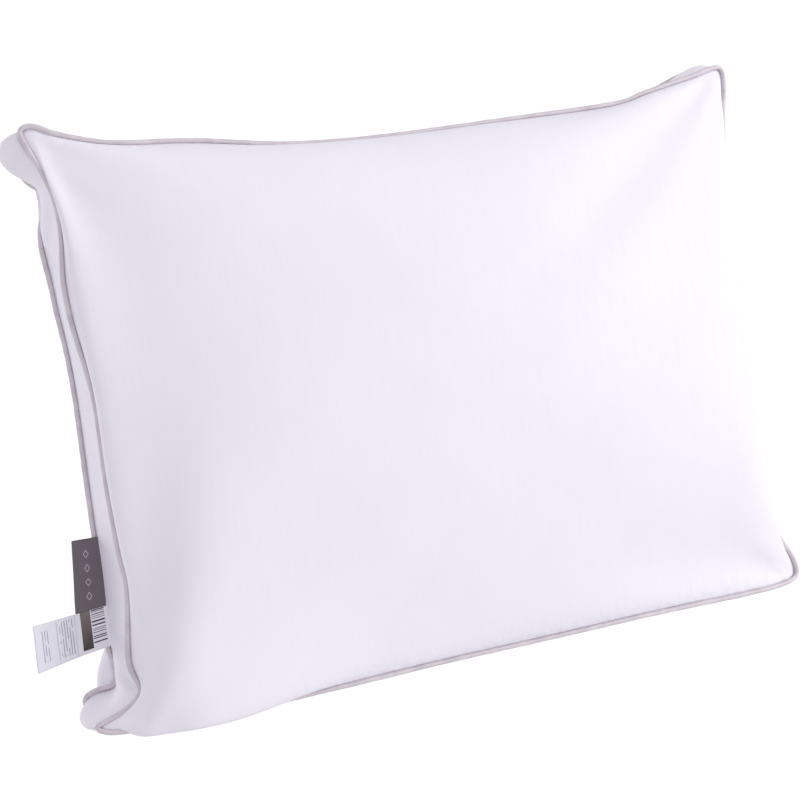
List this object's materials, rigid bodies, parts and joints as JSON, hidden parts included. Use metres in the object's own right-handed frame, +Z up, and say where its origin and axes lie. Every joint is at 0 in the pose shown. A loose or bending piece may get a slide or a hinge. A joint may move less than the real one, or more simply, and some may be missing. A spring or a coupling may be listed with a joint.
{
  "type": "bed pillow",
  "caption": "Plump rectangular bed pillow with a gusset band, satin piping on both seams, fibre filling and sewn-in labels that flap at one end.",
  "frame": {"origin": "centre of the flat bottom of the gusset band, which the pillow stands on", "axes": "+X along the pillow, away from the labelled end; +Y through the thickness, from the front panel to the rear panel; +Z up, across the pillow"},
  "size_m": [0.7385, 0.1932, 0.5],
  "materials": {
    "sateen": "white cotton sateen with a soft sheen",
    "piping_satin": "silver grey satin bias strip",
    "cotton_cord": "matte twisted cotton",
    "thread": "polyester sewing thread",
    "filling": "loose matte polyester fibre",
    "tag_satin": "dark mauve grey woven satin",
    "label_cloth": "white coated label cloth",
    "label_print": "printed label cloth with plain bars"
  },
  "bodies": {
    "casing": {"front_panel": "sateen", "rear_panel": "sateen", "gusset_band": "sateen", "front_piping_cover": "piping_satin", "rear_piping_cover": "piping_satin", "front_piping_cord": "cotton_cord", "rear_piping_cord": "cotton_cord", "front_seam_thread": "thread", "rear_seam_thread": "thread", "gusset_join_thread": "thread", "closing_thread": "thread", "fibre_filling": "filling"},
    "tag": {"brand_tag": "tag_satin"},
    "care_labels": {"care_label": "label_cloth", "product_label": "label_print"}
  },
  "joints": [
    {"name": "tag_flap", "type": "hinge", "parent": "casing", "child": "tag", "pos_m": [-0.3235, 0.0208, 0.122], "axis": [0, 0, 1], "range_deg": [-75, 75]},
    {"name": "care_flap", "type": "hinge", "parent": "casing", "child": "care_labels", "pos_m": [-0.3235, 0.0208, 0.0715], "axis": [0, 0, 1], "range_deg": [-75, 75]}
  ]
}
